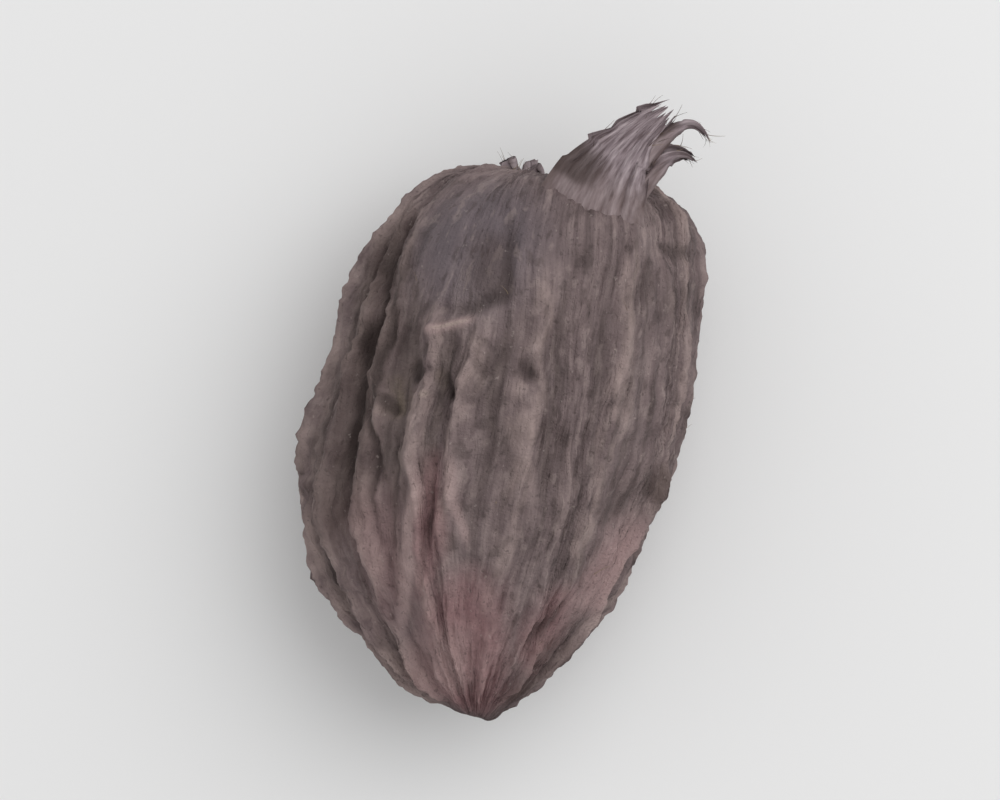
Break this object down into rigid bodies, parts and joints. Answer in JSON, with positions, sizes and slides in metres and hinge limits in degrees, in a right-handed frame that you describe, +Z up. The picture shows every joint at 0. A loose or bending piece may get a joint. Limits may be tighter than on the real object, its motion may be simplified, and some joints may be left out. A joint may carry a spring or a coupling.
{
  "type": "black cardamom pod",
  "caption": "Dried egg-shaped spice pod with crinkled lengthwise ridges, a blunt stalk tip and a torn calyx shred at its broad end, lying on a small flat spot.",
  "frame": {"origin": "centre of the bounding box in X and Y, on the surface that the pod lies on", "axes": "+Y along the pod from its stalk tip to its broad end, +Z up from the surface, +X to the side that carries the calyx shred"},
  "size_m": [0.0188, 0.0312, 0.0163],
  "materials": {
    "dried_husk": "matt, dusty dried husk, dark purple-brown in the furrows and pale on the worn ridges"
  },
  "bodies": {
    "root": {"pod": "dried_husk"}
  },
  "joints": []
}
